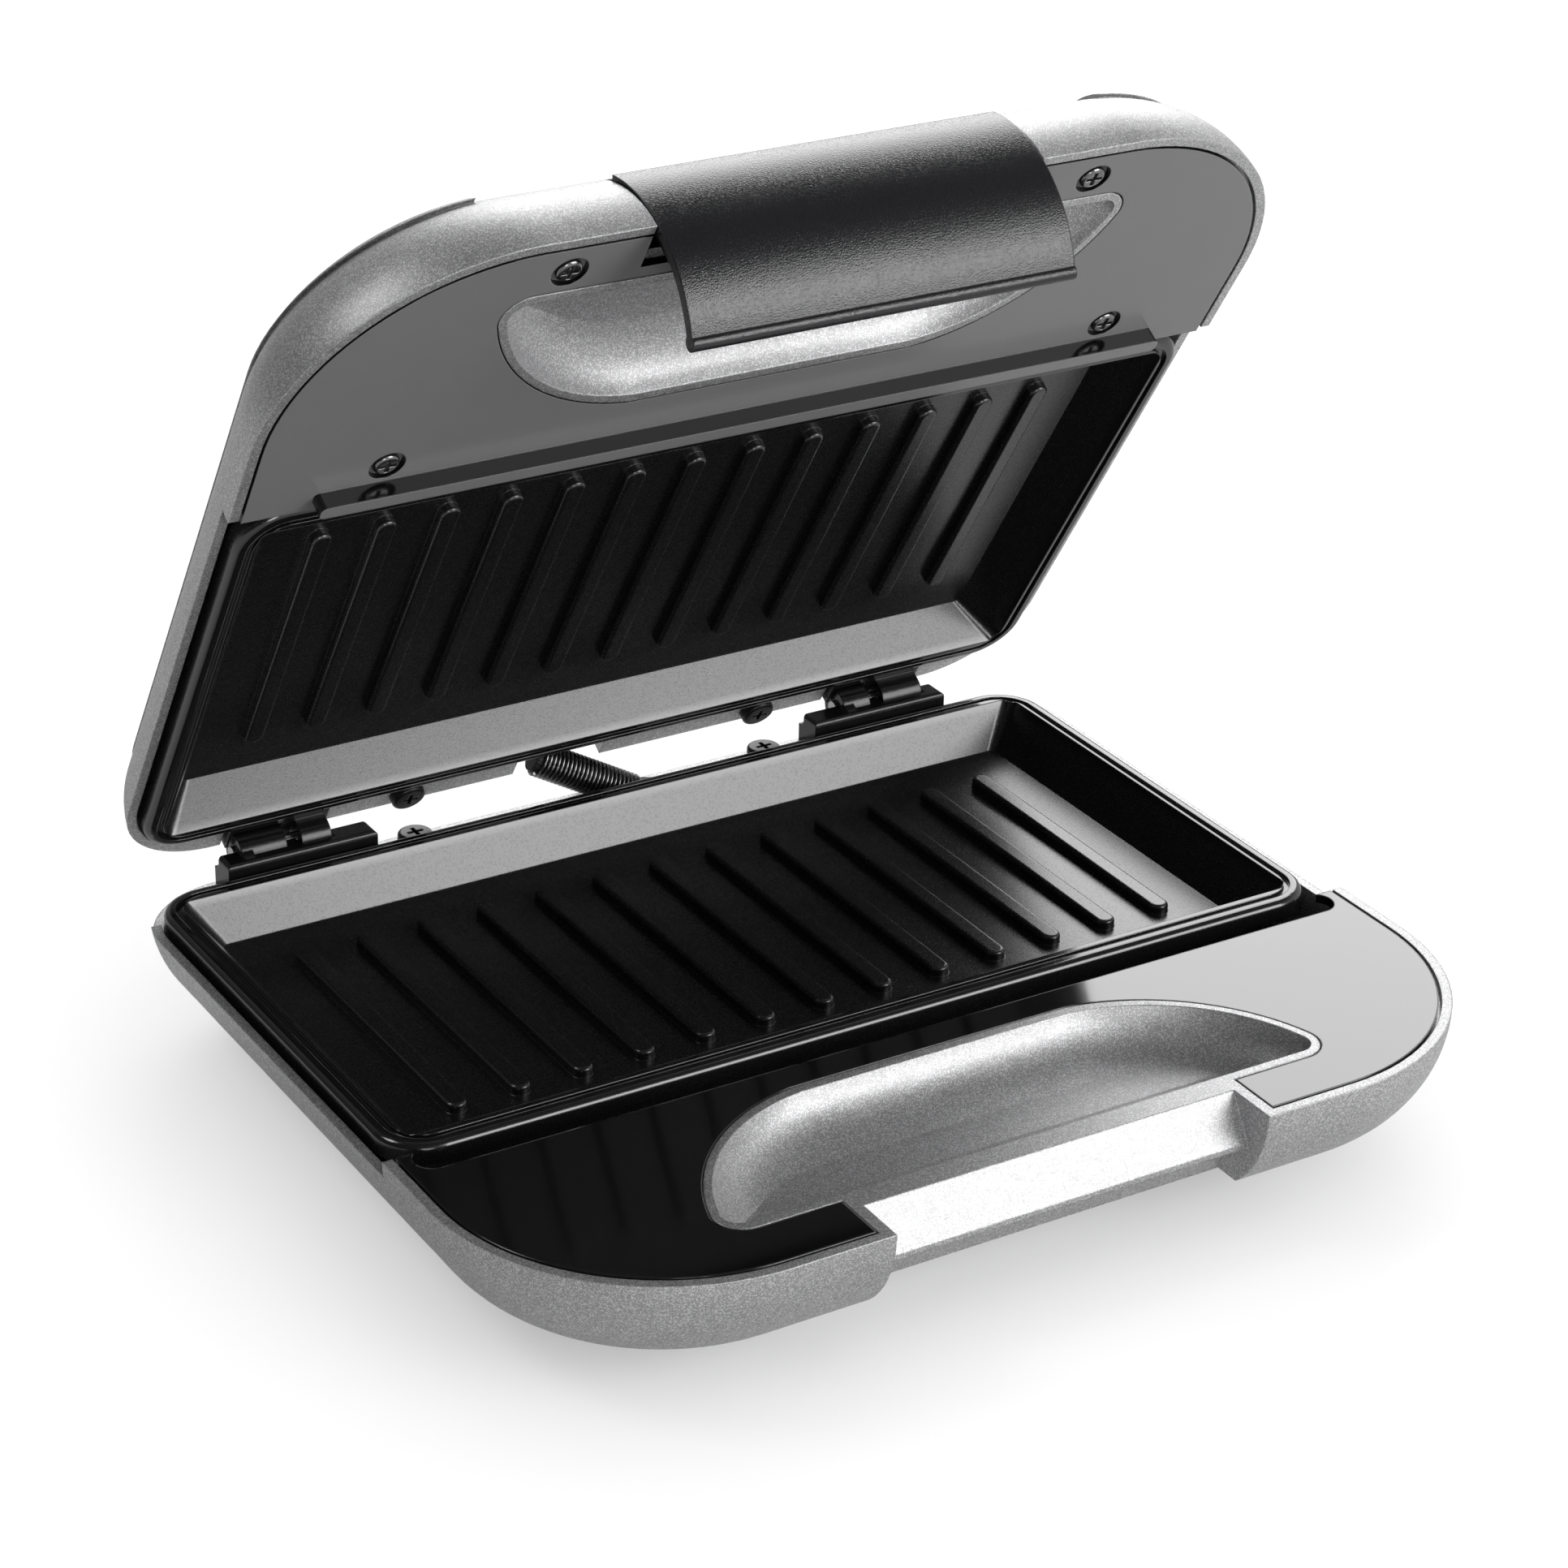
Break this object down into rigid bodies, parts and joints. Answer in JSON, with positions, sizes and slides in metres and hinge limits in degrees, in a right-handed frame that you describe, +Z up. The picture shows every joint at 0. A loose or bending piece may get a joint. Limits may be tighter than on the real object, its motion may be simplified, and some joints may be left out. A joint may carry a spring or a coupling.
{
  "type": "sandwich maker",
  "caption": "Countertop sandwich toaster: ribbed non-stick plates in a silver clamshell with finger scoops, a curved black latch and a lid that swings up on rear hinges.",
  "frame": {"origin": "on the table, under the middle of the open appliance's outer box", "axes": "+X to the user's right, +Y from the latch towards the hinges, +Z up"},
  "size_m": [0.2326, 0.2206, 0.2075],
  "materials": {
    "cord_inlet": "satin black",
    "foot_front_left": "matt black rubber",
    "foot_front_right": "matt black rubber",
    "foot_rear_left": "matt black rubber",
    "foot_rear_right": "matt black rubber",
    "hinge_pin_left": "ground",
    "hinge_pin_right": "ground",
    "hinge_screws": "dark nickel",
    "lamp_holder": "black",
    "latch_axle": "ground",
    "latch_bracket": "satin black",
    "latch_cover": "fine leather grain, satin black",
    "latch_springs": "spring wire",
    "lid_deck_screws": "black finish",
    "lower_element_clips": "bright sheet",
    "lower_grill_plate": "black non-stick coating, fine pebble",
    "lower_heat_shield": "mill finish",
    "lower_heating_element": "dull steel tube",
    "lower_hinge_left": "gloss black",
    "lower_hinge_right": "gloss black",
    "lower_housing": "fine metallic silver paint, satin",
    "lower_trim_panel": "mirror gloss black",
    "panel_screws": "dark nickel",
    "plate_screws": "dark nickel",
    "power_lamp": "clear red",
    "ready_lamp": "clear green",
    "rear_deck_screws": "black finish",
    "spring_conduit": "dark blued wire",
    "terminal_block": "ivory",
    "thermal_fuse": "woven glass sleeve",
    "thermostat": "dark moulded disc",
    "upper_element_clips": "bright sheet",
    "upper_grill_plate": "black non-stick coating, fine pebble",
    "upper_heat_shield": "mill finish",
    "upper_heating_element": "dull steel tube",
    "upper_hinge_left": "gloss black",
    "upper_hinge_right": "gloss black",
    "upper_housing": "fine metallic silver paint, satin",
    "upper_inner_panel": "gloss dark grey",
    "upper_plate_screws": "dark nickel"
  },
  "bodies": {
    "base": {"cord_inlet": "cord_inlet", "foot_front_left": "foot_front_left", "foot_front_right": "foot_front_right", "foot_rear_left": "foot_rear_left", "foot_rear_right": "foot_rear_right", "hinge_pin_left": "hinge_pin_left", "hinge_pin_right": "hinge_pin_right", "hinge_screws": "hinge_screws", "lower_element_clips": "lower_element_clips", "lower_grill_plate": "lower_grill_plate", "lower_heat_shield": "lower_heat_shield", "lower_heating_element": "lower_heating_element", "lower_hinge_left": "lower_hinge_left", "lower_hinge_right": "lower_hinge_right", "lower_housing": "lower_housing", "lower_trim_panel": "lower_trim_panel", "plate_screws": "plate_screws", "rear_deck_screws": "rear_deck_screws", "spring_conduit": "spring_conduit", "terminal_block": "terminal_block", "thermal_fuse": "thermal_fuse", "thermostat": "thermostat"},
    "lid": {"lamp_holder": "lamp_holder", "latch_axle": "latch_axle", "latch_bracket": "latch_bracket", "latch_springs": "latch_springs", "lid_deck_screws": "lid_deck_screws", "panel_screws": "panel_screws", "power_lamp": "power_lamp", "ready_lamp": "ready_lamp", "upper_element_clips": "upper_element_clips", "upper_grill_plate": "upper_grill_plate", "upper_heat_shield": "upper_heat_shield", "upper_heating_element": "upper_heating_element", "upper_hinge_left": "upper_hinge_left", "upper_hinge_right": "upper_hinge_right", "upper_housing": "upper_housing", "upper_inner_panel": "upper_inner_panel", "upper_plate_screws": "upper_plate_screws"},
    "latch": {"latch_cover": "latch_cover"}
  },
  "joints": [
    {"name": "lid_hinge", "type": "hinge", "parent": "base", "child": "lid", "pos_m": [0, 0.0905, 0.03305], "axis": [1, 0, 0], "range_deg": [-47.6, 57.4], "deforming": ["spring_conduit"]},
    {"name": "latch_hinge", "type": "hinge", "parent": "lid", "child": "latch", "pos_m": [0, 0.00115, 0.19978], "axis": [1, 0, 0], "range_deg": [-15, 0], "stiffness_Nm_per_rad": 0.05, "springref_deg": 14.9}
  ]
}
